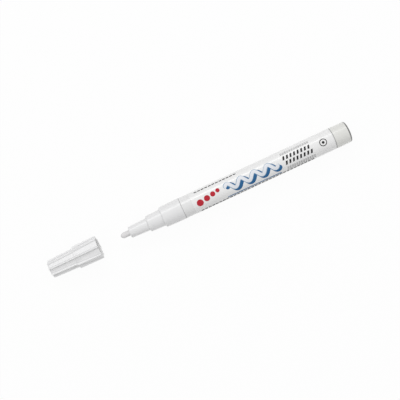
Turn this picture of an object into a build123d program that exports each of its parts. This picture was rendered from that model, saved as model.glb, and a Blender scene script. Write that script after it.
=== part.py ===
from build123d import *
from math import asin, cos, degrees, radians, sin
import os

# A paint marker lying on its side, with its cap pulled off and lying in line in front of the nib.
# Sizes are in millimetres. X runs along the marker from the cap to the tail, and Z is up. The
# origin is on the table, under the middle of the set.

# Clearances
fit_clearance = 0.03  # pushed together and held
slide_clearance = 0.06  # nib and stem in their guides
film_clearance = 0.01
cap_clearance = 0.2  # cap over the front section
cap_seat_gap = 0.1  # cap mouth to collar when the cap is on
roll_clearance = 0.1  # ball to the ends of its run

# Lengths along the marker, from the nib's tip to the tail
nib_reach = 5.4
tip_tube_length = 10.7
neck_length = 8.8
collar_length = 11.8
barrel_length = 89.35
tail_length = 9.25

# Front section
tip_tube_front_radius = 3.1
tip_tube_rear_radius = 3.5
tip_edge_round = 0.3
neck_front_radius = 4.45
neck_rear_radius = 4.72
neck_shoulder_round = 0.9
collar_front_radius = 5.76
collar_rear_radius = 6.03
collar_edge_round = 0.45
seam_round = 0.22
lip_length = 4.0
nib_chamber_radius = 2.2
feed_chamber_radius = 3.3
neck_front_wall = 2.0
collar_front_wall = 2.3
spigot_length = 9.0

# Nib and its valve
nib_radius = 1.58
nib_tip_length = 2.0
nib_travel = 1.2
nib_guide_length = 6.5
nib_guide_grip = 4.0  # length of nib inside its guide
nib_guide_wall = 1.3
nib_guide_spare = 0.3
feed_slot_width = 0.8
feed_slot_length = 3.6
feed_slot_count = 4
valve_case_length = 15.5
valve_case_wall = 0.8
valve_bore_radius = 4.2
valve_seat_thickness = 2.0
valve_hole_radius = 1.9
valve_seal_thickness = 0.8
stem_pin_radius = 1.2
stem_head_radius = 2.8
stem_head_length = 1.6
stem_edge_round = 0.3
stem_rod_radius = 0.9
stem_rod_overrun = 1.2
retainer_thickness = 2.0
retainer_hole_radius = 0.6
retainer_hole_circle = 2.2
retainer_hole_count = 4
spring_wire_radius = 0.2
spring_coil_radius = 1.9
spring_turns = 7
spring_end_gap = 0.03

# Tube, its film and its seal
barrel_outer_radius = 5.86
barrel_wall = 0.45
barrel_edge_round = 0.15
label_thickness = 0.08
label_front_margin = 5.75
label_rear_margin = 0.35
seal_section_radius = 0.42
seal_groove_width = 1.2
seal_set_back = 3.2

# Tail plug
tail_radius = 5.93
tail_edge_round = 0.9
tail_stub_length = 7.0
tail_stub_wall = 1.1
tail_end_wall = 3.0

# Mixing ball
ball_radius = 2.5
ball_place = 82.0  # from the nib's tip

# Cap
cap_gap = 12.9  # nib's tip to the cap's mouth
cap_length = 29.05
cap_skirt_length = 13.6
cap_step_length = 0.5
cap_end_bevel = 0.45
cap_end_wall = 1.9
cap_core_end_radius = 4.0
cap_core_step_radius = 4.6
cap_core_skirt_radius = 5.0
cap_core_mouth_radius = 5.92
cap_rib_end_radius = 5.0
cap_rib_step_radius = 5.5
cap_skirt_step_radius = 6.36
cap_skirt_radius = 6.52
cap_rib_count = 8
cap_rib_crest_width = 0.5
cap_rib_base_width = 1.0
cap_rib_turn = -3.0  # degrees from straight up
cap_mouth_bevel = 0.25
liner_wall = 0.45
liner_bottom = 0.8
liner_end_radius = 3.0
liner_straight_length = 0.5  # straight part behind the liner's rim
liner_set_back = 0.4  # liner's rim behind the step in the cap's bore

# Places along the marker, from the nib's tip
mouth_at = nib_reach
neck_at = mouth_at + tip_tube_length
collar_at = neck_at + neck_length
barrel_at = collar_at + collar_length
tail_at = barrel_at + barrel_length
end_at = tail_at + tail_length
lip_end_at = mouth_at + lip_length
feed_at = neck_at + neck_front_wall
shoulder_at = collar_at + collar_front_wall
spigot_end_at = barrel_at + spigot_length
guide_at = shoulder_at - nib_guide_length
nib_end_at = guide_at + nib_guide_grip
guide_bore_end_at = nib_end_at + nib_travel + nib_guide_spare
seat_at = shoulder_at + valve_seat_thickness
head_at = seat_at + valve_seal_thickness
head_end_at = head_at + stem_head_length
case_end_at = shoulder_at + valve_case_length
retainer_at = case_end_at - retainer_thickness
rod_end_at = case_end_at + stem_rod_overrun
seal_at = barrel_at + seal_set_back
stub_at = tail_at - tail_stub_length

# Radii that follow from others
barrel_inner_radius = barrel_outer_radius - barrel_wall
spigot_radius = barrel_inner_radius - fit_clearance
seal_outer_radius = barrel_inner_radius - film_clearance
seal_ring_radius = seal_outer_radius - seal_section_radius
seal_groove_radius = seal_ring_radius - seal_section_radius - film_clearance
lip_bore_radius = nib_radius + slide_clearance
guide_radius = lip_bore_radius + nib_guide_wall
case_radius = valve_bore_radius - fit_clearance
valve_chamber_radius = case_radius - valve_case_wall
inner_piece_radius = valve_chamber_radius - fit_clearance
label_inner_radius = barrel_outer_radius + film_clearance
label_outer_radius = label_inner_radius + label_thickness
liner_radius = tip_tube_rear_radius + cap_clearance

# Places along the cap, from its closed end
skirt_at = cap_length - cap_skirt_length
neck_bore_at = cap_length - cap_seat_gap - neck_length - cap_clearance
liner_rim_at = neck_bore_at - liner_set_back
liner_taper_end = liner_rim_at - liner_straight_length

# The set rests on the cap's lowest rib and is centred on the origin
total_length = cap_length + cap_gap + end_at
crest_half_angle = degrees(asin(cap_rib_crest_width / 2 / cap_skirt_radius))
rest_angle = max(abs(cap_rib_turn) - crest_half_angle, 0)
axis_height = cap_skirt_radius * cos(radians(rest_angle))
cap_end_x = -total_length / 2
nib_tip_x = cap_end_x + cap_length + cap_gap
marker_axis = Axis((nib_tip_x, 0, axis_height), (1, 0, 0))
marker_plane = Plane(marker_axis.position, x_dir=(1, 0, 0), z_dir=(0, -1, 0))
cap_plane = Plane((cap_end_x, 0, axis_height), x_dir=(1, 0, 0), z_dir=(0, -1, 0))


def cross_plane(place):
    """Plane across the marker at a place along it, with its normal toward the tail."""
    return Plane((nib_tip_x + place, 0, axis_height), x_dir=(0, 1, 0), z_dir=(1, 0, 0))


def rib_outline(root_radius, crest_radius):
    """Corners of the cap's ribbed outline, in order around its axis."""
    root_angle = degrees(asin(cap_rib_base_width / 2 / root_radius))
    crest_angle = degrees(asin(cap_rib_crest_width / 2 / crest_radius))
    corners = [
        (root_radius, -root_angle),
        (crest_radius, -crest_angle),
        (crest_radius, crest_angle),
        (root_radius, root_angle),
    ]
    points = []
    for rib in range(cap_rib_count):
        middle = 90 + cap_rib_turn + rib * 360 / cap_rib_count
        for radius, angle in corners:
            turn = radians(middle + angle)
            points.append((radius * cos(turn), radius * sin(turn)))
    return points


# Front section: tip tube, neck and collar in one moulding, with a spigot for the tube
with BuildPart() as front_section:
    with BuildSketch(marker_plane):
        with BuildLine():
            FilletPolyline(
                (mouth_at, lip_bore_radius),
                (mouth_at, tip_tube_front_radius),
                (neck_at, tip_tube_rear_radius),
                (neck_at, neck_front_radius),
                (collar_at, neck_rear_radius),
                (collar_at, collar_front_radius),
                (barrel_at, collar_rear_radius),
                (barrel_at, spigot_radius),
                (seal_at, spigot_radius),
                (seal_at, seal_groove_radius),
                (seal_at + seal_groove_width, seal_groove_radius),
                (seal_at + seal_groove_width, spigot_radius),
                (spigot_end_at, spigot_radius),
                (spigot_end_at, valve_bore_radius),
                (shoulder_at, valve_bore_radius),
                (shoulder_at, feed_chamber_radius),
                (feed_at, feed_chamber_radius),
                (feed_at, nib_chamber_radius),
                (lip_end_at, nib_chamber_radius),
                (lip_end_at, lip_bore_radius),
                radius=[
                    0, tip_edge_round, 0, neck_shoulder_round, 0, collar_edge_round, seam_round,
                    0, 0, 0, 0, 0, tip_edge_round, 0, 0, 0, 0, 0, 0, 0,
                ],
                close=True,
            )
        make_face()
    revolve(axis=marker_axis)

# Nib: a pressed fibre rod with a bullet tip
with BuildPart() as nib:
    with BuildSketch(marker_plane):
        with BuildLine():
            EllipticalCenterArc(
                (nib_tip_length, 0), nib_tip_length, nib_radius, start_angle=90, arc_size=90
            )
            Polyline(
                (nib_tip_length, nib_radius),
                (nib_end_at, nib_radius),
                (nib_end_at, 0),
                (0, 0),
            )
        make_face()
    revolve(axis=marker_axis)

# Valve case: seat, spring chamber and a slotted guide around the nib's rear end
with BuildPart() as valve_case:
    with BuildSketch(marker_plane):
        with BuildLine():
            Polyline(
                (guide_at, lip_bore_radius),
                (guide_at, guide_radius),
                (shoulder_at, guide_radius),
                (shoulder_at, case_radius),
                (case_end_at, case_radius),
                (case_end_at, valve_chamber_radius),
                (seat_at, valve_chamber_radius),
                (seat_at, valve_hole_radius),
                (guide_bore_end_at, valve_hole_radius),
                (guide_bore_end_at, lip_bore_radius),
                close=True,
            )
        make_face()
    revolve(axis=marker_axis)
    slot_middle = shoulder_at - feed_slot_length / 2 - feed_slot_width
    with BuildSketch(cross_plane(slot_middle - feed_slot_length / 2)):
        with PolarLocations((lip_bore_radius + guide_radius) / 2, feed_slot_count):
            Rectangle(2 * nib_guide_wall, feed_slot_width)
    extrude(amount=feed_slot_length, mode=Mode.SUBTRACT)

# Seat seal: a rubber washer on the seat
with BuildPart() as valve_seat_seal:
    with BuildSketch(cross_plane(seat_at)):
        Circle(inner_piece_radius)
        Circle(valve_hole_radius, mode=Mode.SUBTRACT)
    extrude(amount=valve_seal_thickness)

# Valve stem: a pin behind the nib, the poppet head and the rod that the retainer guides
with BuildPart() as valve_stem:
    with BuildSketch(marker_plane):
        with BuildLine():
            FilletPolyline(
                (nib_end_at, 0),
                (nib_end_at, stem_pin_radius),
                (head_at, stem_pin_radius),
                (head_at, stem_head_radius),
                (head_end_at, stem_head_radius),
                (head_end_at, stem_rod_radius),
                (rod_end_at, stem_rod_radius),
                (rod_end_at, 0),
                radius=[0, 0, 0, 0, stem_edge_round, 0, stem_edge_round, 0],
                close=True,
            )
        make_face()
    revolve(axis=marker_axis)

# Spring retainer: a drilled disc pushed into the rear of the valve case
with BuildPart() as spring_retainer:
    with BuildSketch(cross_plane(retainer_at)):
        Circle(inner_piece_radius)
        Circle(stem_rod_radius + slide_clearance, mode=Mode.SUBTRACT)
        with PolarLocations(retainer_hole_circle, retainer_hole_count):
            Circle(retainer_hole_radius, mode=Mode.SUBTRACT)
    extrude(amount=retainer_thickness)

# Valve spring: one unbroken coil between the poppet head and the retainer
spring_from = head_end_at + spring_end_gap + spring_wire_radius
spring_to = retainer_at - spring_end_gap - spring_wire_radius
spring_length = spring_to - spring_from
spring_foot = (nib_tip_x + spring_from, 0, axis_height)
with BuildPart() as valve_spring:
    with BuildLine() as coil:
        Helix(
            spring_length / spring_turns, spring_length, spring_coil_radius, spring_foot, (1, 0, 0)
        )
    with BuildSketch(Plane(coil.line @ 0, z_dir=coil.line % 0)):
        Circle(spring_wire_radius)
    sweep(path=coil.line, is_frenet=True)

points_per_turn = 24
coil_points = [
    coil.line @ (step / (points_per_turn * spring_turns))
    for step in range(points_per_turn * spring_turns + 1)
]
coil_gap = min(
    (far - near).length
    for index, near in enumerate(coil_points)
    for far in coil_points[index + points_per_turn // 2:]
) - 2 * spring_wire_radius
print("valve_spring least gap to itself", round(coil_gap, 3), "mm")

# Barrel tube: thin painted aluminium
with BuildPart() as barrel_tube:
    with BuildSketch(marker_plane):
        with BuildLine():
            FilletPolyline(
                (barrel_at, barrel_inner_radius),
                (barrel_at, barrel_outer_radius),
                (tail_at, barrel_outer_radius),
                (tail_at, barrel_inner_radius),
                radius=[0, barrel_edge_round, barrel_edge_round, 0],
                close=True,
            )
        make_face()
    revolve(axis=marker_axis)

# Label film: a printed sleeve around the tube
with BuildPart() as label_film:
    with BuildSketch(cross_plane(barrel_at + label_front_margin)):
        Circle(label_outer_radius)
        Circle(label_inner_radius, mode=Mode.SUBTRACT)
    extrude(amount=barrel_length - label_front_margin - label_rear_margin)

# Barrel seal: a ring in the spigot's groove
with BuildPart() as barrel_seal:
    with BuildSketch(marker_plane):
        with Locations((seal_at + seal_groove_width / 2, seal_ring_radius)):
            Circle(seal_section_radius)
    revolve(axis=marker_axis)

# Tail plug: flush with the tube, with a hollow stub inside it
with BuildPart() as tail_plug:
    with BuildSketch(marker_plane):
        with BuildLine():
            FilletPolyline(
                (stub_at, spigot_radius - tail_stub_wall),
                (stub_at, spigot_radius),
                (tail_at, spigot_radius),
                (tail_at, tail_radius),
                (end_at, tail_radius),
                (end_at, 0),
                (end_at - tail_end_wall, 0),
                (end_at - tail_end_wall, spigot_radius - tail_stub_wall),
                radius=[0, tip_edge_round, 0, seam_round, tail_edge_round, 0, 0, 0],
                close=True,
            )
        make_face()
    revolve(axis=marker_axis)

# Mixing ball: lies on the bottom of the tube
ball_drop = barrel_inner_radius - ball_radius - fit_clearance
with BuildPart() as mixing_ball:
    with Locations((nib_tip_x + ball_place, 0, axis_height - ball_drop)):
        Sphere(ball_radius)

# Cap shell: ribs with a step at mid-length on a tapered core, bored for the liner and the neck
cap_stations = [
    (0, cap_core_end_radius - cap_end_bevel, cap_rib_end_radius - cap_end_bevel),
    (cap_end_bevel, cap_core_end_radius, cap_rib_end_radius),
    (skirt_at - cap_step_length, cap_core_step_radius, cap_rib_step_radius),
    (skirt_at, cap_core_skirt_radius, cap_skirt_step_radius),
    (cap_length, cap_core_mouth_radius, cap_skirt_radius),
]
liner_bore_radius = liner_radius + liner_wall + fit_clearance
liner_bore_end_radius = liner_end_radius + liner_wall + fit_clearance
neck_bore_front_radius = neck_front_radius + cap_clearance
neck_bore_rear_radius = neck_rear_radius + cap_clearance
with BuildPart() as cap_shell:
    for place, root_radius, crest_radius in cap_stations:
        with BuildSketch(cross_plane(place + cap_end_x - nib_tip_x)):
            with BuildLine():
                Polyline(*rib_outline(root_radius, crest_radius), close=True)
            make_face()
    loft(ruled=True)
    with BuildSketch(cap_plane):
        with BuildLine():
            Polyline(
                (cap_end_wall, 0),
                (cap_end_wall, liner_bore_end_radius),
                (liner_taper_end, liner_bore_radius),
                (neck_bore_at, liner_bore_radius),
                (neck_bore_at, neck_bore_front_radius),
                (cap_length - cap_mouth_bevel, neck_bore_rear_radius),
                (cap_length, neck_bore_rear_radius + cap_mouth_bevel),
                (cap_length, 0),
                close=True,
            )
        make_face()
    revolve(axis=marker_axis, mode=Mode.SUBTRACT)

# Cap liner: a thin inner cup around the tip tube and the nib
with BuildPart() as cap_liner:
    with BuildSketch(cap_plane):
        with BuildLine():
            Polyline(
                (cap_end_wall, 0),
                (cap_end_wall, liner_end_radius + liner_wall),
                (liner_taper_end, liner_radius + liner_wall),
                (liner_rim_at, liner_radius + liner_wall),
                (liner_rim_at, liner_radius),
                (liner_taper_end, liner_radius),
                (cap_end_wall + liner_bottom, liner_end_radius),
                (cap_end_wall + liner_bottom, 0),
                close=True,
            )
        make_face()
    revolve(axis=marker_axis)

pieces = {
    "front_section": front_section,
    "nib": nib,
    "valve_case": valve_case,
    "valve_seat_seal": valve_seat_seal,
    "valve_stem": valve_stem,
    "spring_retainer": spring_retainer,
    "valve_spring": valve_spring,
    "barrel_tube": barrel_tube,
    "label_film": label_film,
    "barrel_seal": barrel_seal,
    "tail_plug": tail_plug,
    "mixing_ball": mixing_ball,
    "cap_shell": cap_shell,
    "cap_liner": cap_liner,
}

os.makedirs("parts", exist_ok=True)
for name, piece in pieces.items():
    piece.part.label = name
    export_step(piece.part, f"parts/{name}.step")

# Travel of each moving piece from where it lies
ball_front_run = ball_place - ball_radius - roll_clearance - spigot_end_at
ball_rear_run = stub_at - roll_clearance - ball_radius - ball_place
print("cap travel", round(cap_gap + collar_at - cap_seat_gap, 2), "nib travel", nib_travel)
print("ball run", round(-ball_front_run, 2), "to", round(ball_rear_run, 2))
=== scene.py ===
from math import asin, atan2, cos, pi, radians, sin

import bmesh
import bpy
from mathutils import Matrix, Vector


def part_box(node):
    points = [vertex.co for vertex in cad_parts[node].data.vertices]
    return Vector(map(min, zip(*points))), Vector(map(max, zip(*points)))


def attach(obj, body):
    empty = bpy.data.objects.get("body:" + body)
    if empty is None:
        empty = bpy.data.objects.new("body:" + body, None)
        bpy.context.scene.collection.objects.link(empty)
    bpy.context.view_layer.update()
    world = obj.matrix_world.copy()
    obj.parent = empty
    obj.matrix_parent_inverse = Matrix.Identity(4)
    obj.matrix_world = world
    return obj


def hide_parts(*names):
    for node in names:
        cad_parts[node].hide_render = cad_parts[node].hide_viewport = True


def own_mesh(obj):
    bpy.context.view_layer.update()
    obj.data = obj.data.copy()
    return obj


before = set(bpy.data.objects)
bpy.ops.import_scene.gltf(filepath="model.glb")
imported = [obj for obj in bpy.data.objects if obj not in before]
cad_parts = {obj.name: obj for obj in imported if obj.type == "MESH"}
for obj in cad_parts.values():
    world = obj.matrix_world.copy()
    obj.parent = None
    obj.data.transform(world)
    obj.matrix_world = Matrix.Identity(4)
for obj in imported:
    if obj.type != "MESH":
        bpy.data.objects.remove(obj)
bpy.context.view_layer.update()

# FRONT SECTION
# One white injection moulding: the tip tube that holds the nib, the neck that the cap grips and
# the collar. Its spigot is pushed into the tube, and the joint shows as a fine shadow line.
mm = 0.001
front_low, front_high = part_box("front_section")
axis_z = (front_low.z + front_high.z) / 2
collar_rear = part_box("barrel_tube")[0].x


def feed(socket, value):
    """Gives a node's socket a fixed value, or a link from another node's output."""
    if isinstance(value, bpy.types.NodeSocket):
        socket.id_data.links.new(value, socket)
    else:
        socket.default_value = value


def feed_by_name(node, **values):
    """Feeds a node's sockets by their names, written with _ for a space."""
    for label, value in values.items():
        feed(node.inputs[label.replace("_", " ")], value)


def add_node(tree, kind, settings=(), in_order=(), **by_name):
    """A node in a material or group, with its settings, and its sockets fed in order or by name."""
    node = tree.nodes.new(kind)
    for setting, value in settings:
        setattr(node, setting, value)
    for socket, value in zip(node.inputs, in_order):
        feed(socket, value)
    feed_by_name(node, **by_name)
    return node


def reckon(tree, operation, *terms):
    """Result of a Math node."""
    return add_node(tree, "ShaderNodeMath", [("operation", operation)], terms).outputs[0]


def remap(tree, value, **limits):
    """A value stretched from one range to another."""
    return add_node(tree, "ShaderNodeMapRange", Value=value, **limits).outputs[0]


def noise(tree, where, **settings):
    """Noise at each place on the piece."""
    return add_node(tree, "ShaderNodeTexNoise", Vector=where, **settings).outputs["Fac"]


def mix_colours(tree, share, first, second):
    """A colour between two others."""
    mix = add_node(tree, "ShaderNodeMix", [("data_type", "RGBA")], Factor=share, A=first, B=second)
    return mix.outputs["Result"]


def place_on_piece(tree):
    """Object coordinates, which stay with the piece."""
    return tree.nodes.new("ShaderNodeTexCoord").outputs["Object"]


def new_group(name, inputs, outputs):
    """An empty shader group with named values: the group, what it is given and what it makes."""
    group = bpy.data.node_groups.new(name, "ShaderNodeTree")
    for label, value in inputs:
        socket = group.interface.new_socket(label, in_out="INPUT", socket_type="NodeSocketFloat")
        socket.default_value = value
    for label in outputs:
        group.interface.new_socket(label, in_out="OUTPUT", socket_type="NodeSocketFloat")
    return group, group.nodes.new("NodeGroupInput").outputs, group.nodes.new("NodeGroupOutput")


# Moulded skin: broad tone from the melt, fine grain from the tool and patches of polish.
moulded_skin, given, made = new_group(
    "moulded_skin", [("Grain Scale", 5200), ("Tone Scale", 130)], ["Tone", "Grain", "Polish"]
)
where = place_on_piece(moulded_skin)
feed_by_name(
    made,
    Tone=noise(moulded_skin, where, Scale=given["Tone Scale"], Detail=4, Roughness=0.6),
    Grain=noise(moulded_skin, where, Scale=given["Grain Scale"], Detail=2, Roughness=0.5),
    Polish=noise(moulded_skin, where, Scale=420, Detail=3, Roughness=0.65),
)

# Ring line: a band around the marker at one place along it, solid over its core and faded out at
# its reach, slightly broken by fine dust. It can be kept between two radii, for a rim or a bore.
# Besides dark joint lines, it draws painted shade on the tail's rim and painted light in the cap's
# bore.
radius_fade = 0.3 * mm
ring_line, given, made = new_group(
    "ring_line",
    [("Place", 0), ("Core", 0), ("Reach", 0.2 * mm), ("Inner Radius", -1), ("Outer Radius", 1)],
    ["Mask"],
)
where = place_on_piece(ring_line)
along = add_node(ring_line, "ShaderNodeSeparateXYZ", Vector=where).outputs["X"]
distance = reckon(ring_line, "ABSOLUTE", reckon(ring_line, "SUBTRACT", along, given["Place"]))
band = add_node(
    ring_line, "ShaderNodeMapRange", [("interpolation_type", "SMOOTHSTEP")], Value=distance,
    From_Min=given["Core"], From_Max=given["Reach"], To_Min=1, To_Max=0,
).outputs[0]
dust_and_shade = noise(ring_line, where, Scale=2600, Detail=4)
broken = remap(ring_line, dust_and_shade, From_Min=0.25, From_Max=0.75, To_Min=0.75, To_Max=1)
from_axis = add_node(
    ring_line, "ShaderNodeVectorMath", [("operation", "MULTIPLY_ADD")],
    (where, (0, 1, 1), (0, 0, -axis_z)),
).outputs[0]
radius = add_node(
    ring_line, "ShaderNodeVectorMath", [("operation", "LENGTH")], Vector=from_axis
).outputs["Value"]
past_inner = reckon(ring_line, "SUBTRACT", radius, given["Inner Radius"])
before_outer = reckon(ring_line, "SUBTRACT", given["Outer Radius"], radius)
nearer = reckon(ring_line, "MINIMUM", past_inner, before_outer)
within = remap(ring_line, nearer, From_Max=radius_fade)
broken_band = reckon(ring_line, "MULTIPLY", band, broken)
feed_by_name(made, Mask=reckon(ring_line, "MULTIPLY", broken_band, within))

# Most of a noise lies in this range.
noise_span = {"From_Min": 0.3, "From_Max": 0.7}


def new_finish(name, **shader):
    """A material, its nodes and its shader, with the shader's fixed values."""
    finish = bpy.data.materials.new(name)
    finish.use_nodes = True
    surface = finish.node_tree.nodes["Principled BSDF"]
    feed_by_name(surface, **shader)
    return finish, finish.node_tree, surface


def moulded_finish(name, light, dark, smooth, rough, grain_depth, rings=(), coat=0, **skin):
    """Finish of a moulded or coated piece: its tone, polish and grain follow the moulded skin, with
    ring lines on top. Each ring is its colour and the ring line's own values."""
    finish, tree, surface = new_finish(
        name, Coat_Weight=coat, Coat_Roughness=0.28, Specular_IOR_Level=0.3
    )
    detail = add_node(tree, "ShaderNodeGroup", [("node_tree", moulded_skin)], **skin).outputs
    tone = remap(tree, detail["Tone"], **noise_span)
    colour = mix_colours(tree, tone, (*light, 1), (*dark, 1))
    for shade, line_values in rings:
        line = add_node(tree, "ShaderNodeGroup", [("node_tree", ring_line)], **line_values)
        colour = mix_colours(tree, line.outputs["Mask"], colour, (*shade, 1))
    gloss = remap(tree, detail["Polish"], To_Min=smooth, To_Max=rough, **noise_span)
    relief = add_node(
        tree, "ShaderNodeBump", Height=detail["Grain"], Strength=0.35, Distance=grain_depth
    )
    feed_by_name(surface, Base_Color=colour, Roughness=gloss, Normal=relief.outputs[0])
    return finish


def dress(node, finish):
    """Gives a carried-over node its finish."""
    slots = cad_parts[node].data.materials
    slots.clear()
    slots.append(finish)


white_front = moulded_finish(
    "white_front", light=(0.815, 0.815, 0.82), dark=(0.79, 0.79, 0.797), smooth=0.30, rough=0.42,
    grain_depth=0.006 * mm, coat=0.65,
    rings=[((0.30, 0.30, 0.31), {"Place": collar_rear, "Reach": 0.22 * mm})],
)
dress("front_section", white_front)

# VALVE CASE, STEM AND SPRING RETAINER
# Three mouldings in natural plastic inside the collar: the case with the nib's slotted guide, the
# stem behind the nib, and the drilled disc that closes the case. They are milky and unpolished.
natural_plastic = moulded_finish(
    "natural_plastic", light=(0.80, 0.80, 0.775), dark=(0.73, 0.73, 0.70), smooth=0.45, rough=0.6,
    grain_depth=0.010 * mm, Grain_Scale=3500, Tone_Scale=260,
)
for node in ("valve_case", "valve_stem", "spring_retainer"):
    dress(node, natural_plastic)

# SEALS
# A washer on the valve seat and a ring in the spigot's groove, both moulded in black rubber.
# Rubber holds a pale bloom of talc in patches, and is dull all over.
seal_rubber = moulded_finish(
    "seal_rubber", light=(0.022, 0.022, 0.022), dark=(0.065, 0.064, 0.062), smooth=0.62, rough=0.85,
    grain_depth=0.012 * mm, Grain_Scale=2600, Tone_Scale=700,
)
for node in ("valve_seat_seal", "barrel_seal"):
    dress(node, seal_rubber)


# VALVE SPRING AND MIXING BALL
# The spring is wound from drawn stainless wire, stands on the retainer and shortens as the stem is
# pushed back. The ball that stirs the paint is ground steel. Fine drawing marks show on the wire,
# and wet stains on the ball.
def bright_steel(name, light, dark, smooth, rough, mark_scale, stretch):
    """Bare steel with marks that run along it, and stains."""
    finish, tree, surface = new_finish(name, Metallic=1)
    where = place_on_piece(tree)
    drawn_out = add_node(tree, "ShaderNodeMapping", Vector=where, Scale=stretch).outputs[0]
    marks = noise(tree, drawn_out, Scale=mark_scale, Detail=4, Roughness=0.6)
    stains = noise(tree, where, Scale=600, Detail=3)
    relief = add_node(tree, "ShaderNodeBump", Height=marks, Strength=0.3, Distance=0.004 * mm)
    feed_by_name(
        surface,
        Base_Color=mix_colours(tree, stains, (*light, 1), (*dark, 1)),
        Roughness=remap(tree, marks, To_Min=smooth, To_Max=rough, **noise_span),
        Normal=relief.outputs[0],
    )
    return finish


def face_outwards():
    """Turns all faces of the piece in edit mode outwards, and leaves edit mode."""
    bpy.ops.mesh.select_all(action="SELECT")
    bpy.ops.mesh.normals_make_consistent(inside=False)
    bpy.ops.object.mode_set(mode="OBJECT")


ball_steel = bright_steel(
    "ball_steel", light=(0.68, 0.68, 0.69), dark=(0.58, 0.58, 0.58), smooth=0.12, rough=0.28,
    mark_scale=2500, stretch=(1, 1, 1),
)
dress("mixing_ball", ball_steel)
spring_steel = bright_steel(
    "spring_steel", light=(0.62, 0.62, 0.63), dark=(0.48, 0.48, 0.49), smooth=0.22, rough=0.42,
    mark_scale=5000, stretch=(0.3, 1, 1),
)
dress("valve_spring", spring_steel)

spring_low, spring_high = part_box("valve_spring")
wire_radius = 0.2 * mm
wire_sides = 16
spring_turns = 7
steps_per_turn = 40
coil_radius = (spring_high.z - spring_low.z) / 2 - wire_radius
coil_length = spring_high.x - spring_low.x - 2 * wire_radius
bpy.ops.object.select_all(action="DESELECT")
bpy.ops.mesh.primitive_circle_add(
    vertices=wire_sides, radius=wire_radius, location=(0, 0, coil_radius), rotation=(pi / 2, 0, 0)
)
spring = bpy.context.object
spring.name = spring.data.name = "valve_coil"
bpy.ops.object.transform_apply(location=True, rotation=True, scale=True)
wind = spring.modifiers.new("wind", "SCREW")
wind.axis = "X"
wind.screw_offset = coil_length / spring_turns
wind.iterations = spring_turns
wind.steps = wind.render_steps = steps_per_turn
bpy.ops.object.modifier_apply(modifier="wind")
bpy.ops.object.mode_set(mode="EDIT")
bpy.ops.mesh.select_all(action="SELECT")
bpy.ops.transform.translate(value=(spring_low.x + wire_radius, 0, axis_z))
bpy.ops.mesh.fill_holes(sides=0)
face_outwards()
bpy.ops.object.shade_smooth_by_angle(angle=radians(40))
spring.data.materials.append(spring_steel)
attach(spring, "barrel")
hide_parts("valve_spring")
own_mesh(spring)

# NIB
# A rod of white fibre, pressed and bonded with resin and ground to a bullet tip. Fibres run along
# it, their ends show as fine pits on the tip, and the ground tip is a little paler.
nib_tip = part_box("nib")[0].x
ground_whole, ground_end = 0.8 * mm, 2.6 * mm
pit_share = 0.5
nib_fibre, tree, surface = new_finish("nib_fibre", Sheen_Weight=0.15, Sheen_Roughness=0.6)
where = place_on_piece(tree)
drawn_out = add_node(tree, "ShaderNodeMapping", Vector=where, Scale=(0.12, 1, 1)).outputs[0]
fibres = noise(tree, drawn_out, Scale=7000, Detail=3, Roughness=0.6)
pits = add_node(tree, "ShaderNodeTexVoronoi", Vector=where, Scale=4200, Randomness=1)
tangle = reckon(tree, "MULTIPLY_ADD", pits.outputs["Distance"], pit_share, fibres)
shade = remap(tree, tangle, From_Min=0.4, From_Max=0.9)
fibre_colour = mix_colours(tree, shade, (0.82, 0.81, 0.815, 1), (0.72, 0.71, 0.715, 1))
along = add_node(tree, "ShaderNodeSeparateXYZ", Vector=where).outputs["X"]
ground = remap(
    tree, along, From_Min=nib_tip + ground_whole, From_Max=nib_tip + ground_end, To_Min=0.35, To_Max=0
)
clumps = noise(tree, where, Scale=1100, Detail=2)
felt = add_node(tree, "ShaderNodeBump", Height=tangle, Strength=0.6, Distance=0.03 * mm)
feed_by_name(
    surface,
    Base_Color=mix_colours(tree, ground, fibre_colour, (0.86, 0.85, 0.855, 1)),
    Roughness=remap(tree, clumps, To_Min=0.78, To_Max=0.95),
    Normal=felt.outputs[0],
)
dress("nib", nib_fibre)

# BARREL TUBE
# A drawn aluminium tube, sprayed with white lacquer before the film goes on. The lacquer has a
# slight orange peel, and thins to a grey line at the tube's two cut edges.
tube_low, tube_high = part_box("barrel_tube")
white_lacquer = moulded_finish(
    "white_lacquer", light=(0.80, 0.80, 0.80), dark=(0.775, 0.777, 0.778), smooth=0.22, rough=0.34,
    grain_depth=0.010 * mm, coat=0.65, Grain_Scale=1900, Tone_Scale=90,
    rings=[
        ((0.34, 0.34, 0.34), {"Place": tube_low.x, "Reach": 0.2 * mm}),
        ((0.40, 0.40, 0.40), {"Place": tube_high.x, "Reach": 0.15 * mm}),
    ],
)
dress("barrel_tube", white_lacquer)

# TAIL PLUG
# A plug moulded in a warmer white, pushed into the tube until its flange is flush with it. The
# rounded rim at its end is painted dark, as painted shade.
tail_low, tail_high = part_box("tail_plug")
tail_radius = (tail_high.z - tail_low.z) / 2
rim_shade_width = 1.0 * mm
seam = {"Place": tube_high.x, "Reach": 0.38 * mm}
# Painted shade: the rounded rim at the end is painted near black, standing in for the shade on it.
painted_rim_shade = {
    "Place": tail_high.x, "Core": 0.8 * mm, "Reach": rim_shade_width,
    "Inner_Radius": tail_radius - rim_shade_width,
}
tail_plastic = moulded_finish(
    "tail_plastic", light=(0.765, 0.765, 0.74), dark=(0.74, 0.741, 0.713), smooth=0.28, rough=0.4,
    grain_depth=0.006 * mm, coat=0.9,
    rings=[((0.2, 0.2, 0.2), seam), ((0.05, 0.05, 0.05), painted_rim_shade)],
)
dress("tail_plug", tail_plastic)

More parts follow.
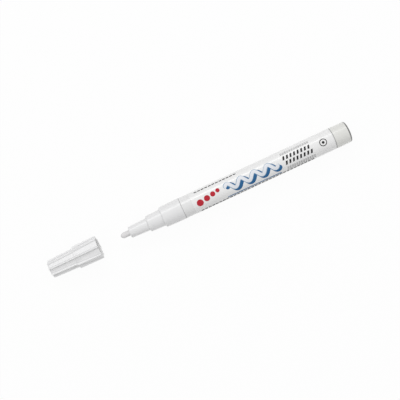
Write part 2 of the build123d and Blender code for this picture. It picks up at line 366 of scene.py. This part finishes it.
# LABEL FILM
# A white film shrunk on to the tube, glossy, with a faint ripple from the shrinking. Its two cut
# edges show as fine grey lines.
film_low, film_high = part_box("label_film")
film_radius = (film_high.z - film_low.z) / 2
white_film = moulded_finish(
    "white_film", light=(0.86, 0.86, 0.857), dark=(0.84, 0.84, 0.84), smooth=0.20, rough=0.30,
    grain_depth=0.012 * mm, coat=0.65, Grain_Scale=620, Tone_Scale=110,
    rings=[
        ((0.62, 0.62, 0.62), {"Place": film_low.x, "Reach": 0.12 * mm}),
        ((0.5, 0.5, 0.5), {"Place": film_high.x, "Reach": 0.12 * mm}),
    ],
)
dress("label_film", white_film)

# PRINT ON THE FILM
# Plain screen-printed marks in six inks: rising red dots, a pale wave with a slate edge and a blue
# shadow, black slanted bars, a ring, a blue rule and rows of dashes. Each ink is drawn flat in
# millimetres, wrapped round the film and lies a hair above it.
film_sink = 0.006 * mm
strip = 0.4 * mm
touching = 0.001 * mm


def flat_spot(place, side):
    """Where a flat mark lies: place is along the film from its front edge, side is around it."""
    return film_low.x + place * mm, side * mm, 0


def flat_dot(place, side, radius):
    """A flat filled circle."""
    bpy.ops.mesh.primitive_circle_add(
        vertices=44, radius=radius * mm, fill_type="NGON", location=flat_spot(place, side)
    )
    return bpy.context.object


def flat_bar(place, side, length, height, slant=0):
    """A flat bar, whose top leans along the film by slant."""
    bpy.ops.mesh.primitive_plane_add(size=1, location=flat_spot(place, side))
    bar = bpy.context.object
    for corner in bar.data.vertices:
        corner.co.x = (corner.co.x * length + corner.co.y * slant) * mm
        corner.co.y *= height * mm
    return bar


def flat_wave(place, side, length, waves, swing, width):
    """A flat ribbon that waves along the film and has rounded ends."""
    bpy.ops.mesh.primitive_grid_add(
        x_subdivisions=128, y_subdivisions=6, size=1, location=flat_spot(place, side)
    )
    ribbon = bpy.context.object
    turns = waves * 2 * pi
    for point in ribbon.data.vertices:
        run = point.co.x + 0.5
        edge = max(0, abs(point.co.x) * length - (length - width) / 2) / (width / 2)
        half = point.co.y * width * max(0, 1 - edge * edge) ** 0.5
        slope = swing * cos(run * turns) * turns / length
        lean = (1 + slope * slope) ** 0.5
        middle = swing * sin(run * turns)
        point.co.x = (run * length - half * slope / lean) * mm
        point.co.y = (middle + half / lean) * mm
    return ribbon


def repeat(mark, count, along, around=0):
    """Repeats a flat mark at an even step."""
    row = mark.modifiers.new("row", "ARRAY")
    row.count = count
    row.use_relative_offset = False
    row.use_constant_offset = True
    row.constant_offset_displace = (along * mm, around * mm, 0)
    bpy.ops.object.modifier_apply(modifier="row")
    return mark


def dash_rows(place, side, length, height, pitch, count, rows=1, row_pitch=0):
    """Rows of dashes, side by side around the film."""
    dash = flat_bar(place, side, length, height)
    return repeat(repeat(dash, count, pitch), rows, 0, row_pitch)


def print_on_film(name, marks, rise, finish):
    """Joins the flat marks of one ink, cuts them into strips, thickens them and wraps them round."""
    bpy.ops.object.select_all(action="DESELECT")
    for mark in marks:
        mark.select_set(True)
    bpy.context.view_layer.objects.active = marks[0]
    bpy.ops.object.join()
    ink = bpy.context.object
    ink.name = ink.data.name = name
    bpy.ops.object.transform_apply(location=True, rotation=True, scale=True)
    sides = [point.co.y for point in ink.data.vertices]
    bpy.ops.object.mode_set(mode="EDIT")
    bpy.ops.mesh.select_all(action="SELECT")
    bpy.ops.mesh.remove_doubles(threshold=touching)
    for cut in range(int(min(sides) // strip), int(max(sides) // strip) + 1):
        bpy.ops.mesh.select_all(action="SELECT")
        bpy.ops.mesh.bisect(plane_co=(0, cut * strip, 0), plane_no=(0, 1, 0))
    bpy.ops.object.mode_set(mode="OBJECT")
    layer = ink.modifiers.new("layer", "SOLIDIFY")
    layer.thickness = rise + film_sink
    layer.offset = 1
    bpy.ops.object.modifier_apply(modifier="layer")
    for point in ink.data.vertices:
        turn = point.co.y / film_radius
        reach = film_radius - film_sink + point.co.z
        point.co = (point.co.x, reach * sin(turn), axis_z + reach * cos(turn))
    bpy.ops.object.mode_set(mode="EDIT")
    face_outwards()
    bpy.ops.object.shade_smooth_by_angle(angle=radians(35))
    ink.data.materials.clear()
    ink.data.materials.append(finish)
    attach(ink, "barrel")


# Ink lay: how evenly the ink covers, from its cloudy thickness and the screen's fine mesh.
mesh_share = 0.35
ink_lay, given, made = new_group("ink_lay", [("Mesh Scale", 7000)], ["Cover", "Gloss"])
where = place_on_piece(ink_lay)
cloud = noise(ink_lay, where, Scale=1300, Detail=3, Roughness=0.6)
mesh_marks = add_node(
    ink_lay, "ShaderNodeTexVoronoi", Vector=where, Scale=given["Mesh Scale"], Randomness=0.25
)
cover = reckon(ink_lay, "MULTIPLY_ADD", mesh_marks.outputs["Distance"], mesh_share, cloud)
feed_by_name(made, Cover=cover, Gloss=cloud)


def screen_ink(name, full, thin):
    """One ink of the print, thinner and paler in places."""
    finish, tree, surface = new_finish(name, Specular_IOR_Level=0.25)
    lay = add_node(tree, "ShaderNodeGroup", [("node_tree", ink_lay)]).outputs
    spread = remap(tree, lay["Cover"], From_Min=0.4, From_Max=0.9)
    feed_by_name(
        surface,
        Base_Color=mix_colours(tree, spread, (*full, 1), (*thin, 1)),
        Roughness=remap(tree, lay["Gloss"], To_Min=0.28, To_Max=0.42, **noise_span),
    )
    return finish


ink_red = screen_ink("ink_red", full=(0.47, 0.008, 0.022), thin=(0.52, 0.02, 0.04))
ink_blue = screen_ink("ink_blue", full=(0.012, 0.105, 0.27), thin=(0.022, 0.135, 0.32))
ink_slate = screen_ink("ink_slate", full=(0.24, 0.36, 0.48), thin=(0.30, 0.42, 0.54))
ink_pale = screen_ink("ink_pale", full=(0.77, 0.79, 0.84), thin=(0.80, 0.82, 0.86))
ink_black = screen_ink("ink_black", full=(0.007, 0.007, 0.008), thin=(0.018, 0.018, 0.019))
ink_grey = screen_ink("ink_grey", full=(0.09, 0.09, 0.095), thin=(0.15, 0.15, 0.155))

# Each red dot's place, side and radius.
red_dots = [(4.2, -1.5, 1.9), (8.5, -0.7, 1.65), (12.2, 0.1, 1.4), (15.3, 0.8, 1.15)]
print_on_film("print_red", [flat_dot(*dot) for dot in red_dots], rise=0.02 * mm, finish=ink_red)

wave_place, wave_length = 19.2, 31.5
wave_form = {"waves": 4, "swing": 1.8}
shadow_shift, shadow_side = 1.05, -1.1
slate_rim = 0.18
blue_shadow = flat_wave(wave_place + shadow_shift, shadow_side, wave_length, width=2.9, **wave_form)
blue_rule = flat_bar(place=34.9, side=-5.75, length=31.5, height=0.7)
print_on_film("print_blue", [blue_shadow, blue_rule], rise=0.012 * mm, finish=ink_blue)
slate_edge = flat_wave(wave_place - slate_rim, 0, wave_length + 2 * slate_rim, width=2.3, **wave_form)
print_on_film("print_slate", [slate_edge], rise=0.018 * mm, finish=ink_slate)
pale_wave = flat_wave(wave_place, 0, wave_length, width=1.75, **wave_form)
print_on_film("print_pale", [pale_wave], rise=0.025 * mm, finish=ink_pale)

slanted_bar = {"length": 1.05, "height": 2.1, "slant": 0.7}
bar_count, bar_pitch = 8, 2.1
upper_bars = repeat(flat_bar(place=54.4, side=1.45, **slanted_bar), bar_count, bar_pitch)
lower_bars = repeat(flat_bar(place=55.1, side=-1.45, **slanted_bar), bar_count, bar_pitch)
bold_dash = {"length": 1.6, "pitch": 2.1}
far_row = dash_rows(4.0, 5.6, height=0.75, count=12, **bold_dash)
near_rows = dash_rows(4.0, -6.85, height=0.65, count=32, rows=2, row_pitch=-0.95, **bold_dash)
ring_place, ring_side = 77.2, 0.2
ring_outside = flat_dot(ring_place, ring_side, radius=2.1)
bpy.ops.object.mode_set(mode="EDIT")
bpy.ops.mesh.select_all(action="SELECT")
bpy.ops.mesh.inset(thickness=0.45 * mm)
bpy.ops.mesh.delete(type="FACE")
bpy.ops.object.mode_set(mode="OBJECT")
ring_middle = flat_dot(ring_place, ring_side, radius=0.75)
black_marks = [upper_bars, lower_bars, far_row, near_rows, ring_outside, ring_middle]
print_on_film("print_black", black_marks, rise=0.02 * mm, finish=ink_black)

fine_dash = {"length": 0.95, "height": 0.3, "pitch": 1.3}
upper_rows = dash_rows(54.0, 3.8, count=13, rows=2, row_pitch=0.8, **fine_dash)
lower_rows = dash_rows(55.0, -4.2, count=13, rows=3, row_pitch=-0.8, **fine_dash)
back_rows = dash_rows(16.5, 11.6, count=36, rows=6, row_pitch=1.1, **fine_dash)
print_on_film("print_grey", [upper_rows, lower_rows, back_rows], rise=0.02 * mm, finish=ink_grey)

# CAP AND LINER
# The cap is a white moulding with eight ribs between flat panels, which step out to a wider skirt.
# Its edges are slightly rounded by the tool, and painted shade darkens the corners beside the ribs. A
# thin natural liner is pushed into its bore.
dress("cap_liner", natural_plastic)
cap_low, cap_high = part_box("cap_shell")
cap_start, cap_mouth = cap_low.x, cap_high.x
rib_count = 8
rib_pitch = 2 * pi / rib_count
rib_turn = radians(-3.0)
rib_crest, rib_base = 0.5, 1.0
points_per_rib = 6
point_count = points_per_rib * rib_count
# Along the outside from the closed end, in millimetres: place, radius at the roots, at the crests.
cap_outside = [
    (0.0, 3.55, 4.55), (0.45, 4.0, 5.0), (14.95, 4.6, 5.5), (15.45, 5.0, 6.36), (29.05, 5.92, 6.52),
]
# Along the bore from the mouth: place and radius.
cap_bore = [(29.05, 5.17), (28.8, 4.92), (19.95, 4.65), (19.95, 4.18), (19.05, 4.18), (1.9, 3.48)]


def around_cap(reach, turn):
    """Point across the cap at a radius and an angle."""
    return Vector((reach * cos(turn), reach * sin(turn)))


def rib_outline(root, crest):
    """Ribbed outline across the cap: each rib's four corners, and two points on the panel after it."""
    root_turn = asin(rib_base / 2 / root)
    crest_turn = asin(rib_crest / 2 / crest)
    outline = []
    for rib in range(rib_count):
        middle = pi / 2 + rib_turn + rib * rib_pitch
        corner = around_cap(root, middle + root_turn)
        following = around_cap(root, middle + rib_pitch - root_turn)
        outline += [
            around_cap(root, middle - root_turn),
            around_cap(crest, middle - crest_turn),
            around_cap(crest, middle + crest_turn),
            corner,
            corner.lerp(following, 1 / 3),
            corner.lerp(following, 2 / 3),
        ]
    return outline


panel_middle = pi / 2 + rib_turn + rib_pitch / 2


def around_from_panel(across, up):
    """Angle around the cap, counted from the middle of a panel."""
    return (atan2(up, across) - panel_middle) % (2 * pi)


def lay_ring(mesh, place, outline):
    """Moves the selected ring of points to an outline at a place along the cap, in the same order."""
    shape = bmesh.from_edit_mesh(mesh)
    ring = [point for point in shape.verts if point.select]
    ring.sort(key=lambda point: around_from_panel(point.co.y, point.co.z - axis_z))
    outline = sorted(outline, key=lambda corner: around_from_panel(corner.x, corner.y))
    for point, corner in zip(ring, outline):
        point.co = (cap_start + place * mm, corner.x * mm, axis_z + corner.y * mm)
    bmesh.update_edit_mesh(mesh)


bpy.ops.object.select_all(action="DESELECT")
bpy.ops.mesh.primitive_circle_add(
    vertices=point_count, radius=cap_outside[0][1] * mm, location=(cap_start, 0, axis_z),
    rotation=(0, pi / 2, 0),
)
cap = bpy.context.object
cap.name = cap.data.name = "cap_ribbed"
bpy.ops.object.transform_apply(location=True, rotation=True, scale=True)
bpy.ops.object.mode_set(mode="EDIT")
bpy.ops.mesh.select_all(action="SELECT")
lay_ring(cap.data, 0, rib_outline(*cap_outside[0][1:]))
for place, root, crest in cap_outside[1:]:
    bpy.ops.mesh.extrude_edges_indiv()
    lay_ring(cap.data, place, rib_outline(root, crest))
bore_turns = [panel_middle + (step + 0.5) * 2 * pi / point_count for step in range(point_count)]
for place, reach in cap_bore:
    bpy.ops.mesh.extrude_edges_indiv()
    lay_ring(cap.data, place, [around_cap(reach, turn) for turn in bore_turns])
bpy.ops.mesh.edge_face_add()
bpy.ops.mesh.select_all(action="DESELECT")
shape = bmesh.from_edit_mesh(cap.data)
for edge in shape.edges:
    edge.select = all(abs(point.co.x - cap_start) < touching for point in edge.verts)
bmesh.update_edit_mesh(cap.data)
bpy.ops.mesh.edge_face_add()
face_outwards()
edges = cap.modifiers.new("soft_edges", "BEVEL")
edges.width = 0.12 * mm
edges.segments = 3
edges.limit_method = "ANGLE"
edges.angle_limit = radians(24)
bpy.ops.object.modifier_apply(modifier="soft_edges")
bpy.ops.object.shade_smooth_by_angle(angle=radians(40))
flats = cap.modifiers.new("flat_panels", "WEIGHTED_NORMAL")
flats.keep_sharp = True
bpy.ops.object.modifier_apply(modifier="flat_panels")

# Painted light: the bore near the mouth is painted paler, standing in for light that comes through the
# thin skirt.
painted_bore_light = {"Place": cap_mouth, "Reach": 14 * mm, "Outer_Radius": 5.3 * mm}
white_cap = moulded_finish(
    "white_cap", light=(0.86, 0.86, 0.865), dark=(0.845, 0.845, 0.85), smooth=0.28, rough=0.4,
    grain_depth=0.003 * mm, coat=0.25, rings=[((0.95, 0.95, 0.95), painted_bore_light)],
)


def root_at(place):
    """Radius of the corners beside the ribs at a place along the cap."""
    for (start, start_root, _), (end, end_root, _) in zip(cap_outside, cap_outside[1:]):
        if place <= end:
            return start_root + (end_root - start_root) * (place - start) / (end - start)
    return cap_outside[-1][1]


# Painted shade: points near the corners beside the ribs get a value that darkens the cap's colour
# towards grey there, standing in for the shade that falls in those corners.
corner_shade_reach = 0.45
painted_corner_shade = cap.data.attributes.new("painted_corner_shade", "FLOAT", "POINT")
for point, dust_and_shade in zip(cap.data.vertices, painted_corner_shade.data):
    here = Vector((point.co.y, point.co.z - axis_z)) / mm
    root = root_at((point.co.x - cap_start) / mm)
    outline = rib_outline(root, root)
    corners = outline[0::points_per_rib] + outline[3::points_per_rib]
    dust_and_shade.value = max(0, 1 - min((here - corner).length for corner in corners) / corner_shade_reach)
tree = white_cap.node_tree
surface = tree.nodes["Principled BSDF"]
unshaded_colour = surface.inputs["Base Color"].links[0].from_socket
shaded_corner_share = add_node(tree, "ShaderNodeAttribute", [("attribute_name", "painted_corner_shade")])
cover = remap(tree, shaded_corner_share.outputs["Fac"], From_Min=0.55, From_Max=0.95, To_Max=0.65)
feed_by_name(surface, Base_Color=mix_colours(tree, cover, unshaded_colour, (0.42, 0.42, 0.43, 1)))
cap.data.materials.append(white_cap)
dress("cap_shell", white_cap)
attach(cap, "cap")
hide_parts("cap_shell")

# STUDIO
# The camera looks straight down on the marker from the photograph's distance, and a white floor
# lies under it. A white sky lights it evenly, and one soft lamp stands beyond it.
photo_pixel = 0.541 * mm
photo_width = 400 * photo_pixel
camera_distance = 760 * photo_pixel
view_centre = Vector((0.475 * mm, 0, axis_z))
view_turn = radians(-24.92)
camera_data = bpy.data.cameras.new("photo_view")
camera_data.sensor_width = 36
camera_data.lens = camera_data.sensor_width * camera_distance / photo_width
camera_data.clip_start = 0.01
camera_data.clip_end = 10
camera = bpy.data.objects.new("photo_view", camera_data)
camera.location = view_centre + Vector((0, 0, camera_distance))
camera.rotation_euler = (0, 0, view_turn)
bpy.context.collection.objects.link(camera)
bpy.context.scene.camera = camera


def background_rays(tree):
    """Mask of the rays that show the background: from the camera, off gloss or through glass."""
    ray = tree.nodes.new("ShaderNodeLightPath").outputs
    mirrored = reckon(tree, "MAXIMUM", ray["Is Glossy Ray"], ray["Is Transmission Ray"])
    return reckon(tree, "MAXIMUM", ray["Is Camera Ray"], mirrored)


white = (1, 1, 1, 1)
white_share = 0.95
bpy.ops.object.select_all(action="DESELECT")
bpy.ops.mesh.primitive_plane_add(size=3, location=(0, 0, 0))
floor = bpy.context.object
floor.name = "floor"
floor_paint = bpy.data.materials.new("white_floor")
floor_paint.use_nodes = True
tree = floor_paint.node_tree
tree.nodes.clear()
paint = add_node(tree, "ShaderNodeBsdfDiffuse", Color=(0.82, 0.82, 0.82, 1))
glow = add_node(tree, "ShaderNodeEmission", Color=white, Strength=1)
share = reckon(tree, "MULTIPLY", background_rays(tree), white_share)
laid = add_node(tree, "ShaderNodeMixShader", (), (share, paint.outputs[0], glow.outputs[0]))
add_node(tree, "ShaderNodeOutputMaterial", Surface=laid.outputs[0])
floor.data.materials.append(floor_paint)

lamp_data = bpy.data.lights.new("soft_lamp", "AREA")
lamp_data.shape = "RECTANGLE"
lamp_data.size = 0.5
lamp_data.size_y = 0.18
lamp_data.energy = 1.6
lamp = bpy.data.objects.new("soft_lamp", lamp_data)
lamp.location = (0, 0.61, 0.55)
lamp.rotation_euler = (view_centre - lamp.location).to_track_quat("-Z", "Y").to_euler()
bpy.context.collection.objects.link(lamp)

sky_lean = radians(2)
overhead = (0, sin(sky_lean), cos(sky_lean))
room = bpy.data.worlds.new("white_room")
room.use_nodes = True
tree = room.node_tree
heading = tree.nodes.new("ShaderNodeTexCoord").outputs["Generated"]
toward = add_node(tree, "ShaderNodeVectorMath", [("operation", "DOT_PRODUCT")], (heading, overhead))
above = remap(tree, toward.outputs["Value"], From_Min=-0.12, To_Min=0, To_Max=1.12)
light = tree.nodes["Background"]
feed_by_name(light, Color=white, Strength=above)
seen = add_node(tree, "ShaderNodeBackground", Color=white, Strength=1)
sky = add_node(
    tree, "ShaderNodeMixShader", (), (background_rays(tree), light.outputs[0], seen.outputs[0])
)
feed_by_name(tree.nodes["World Output"], Surface=sky.outputs[0])
bpy.context.scene.world = room
bpy.context.scene.view_settings.view_transform = "Standard"
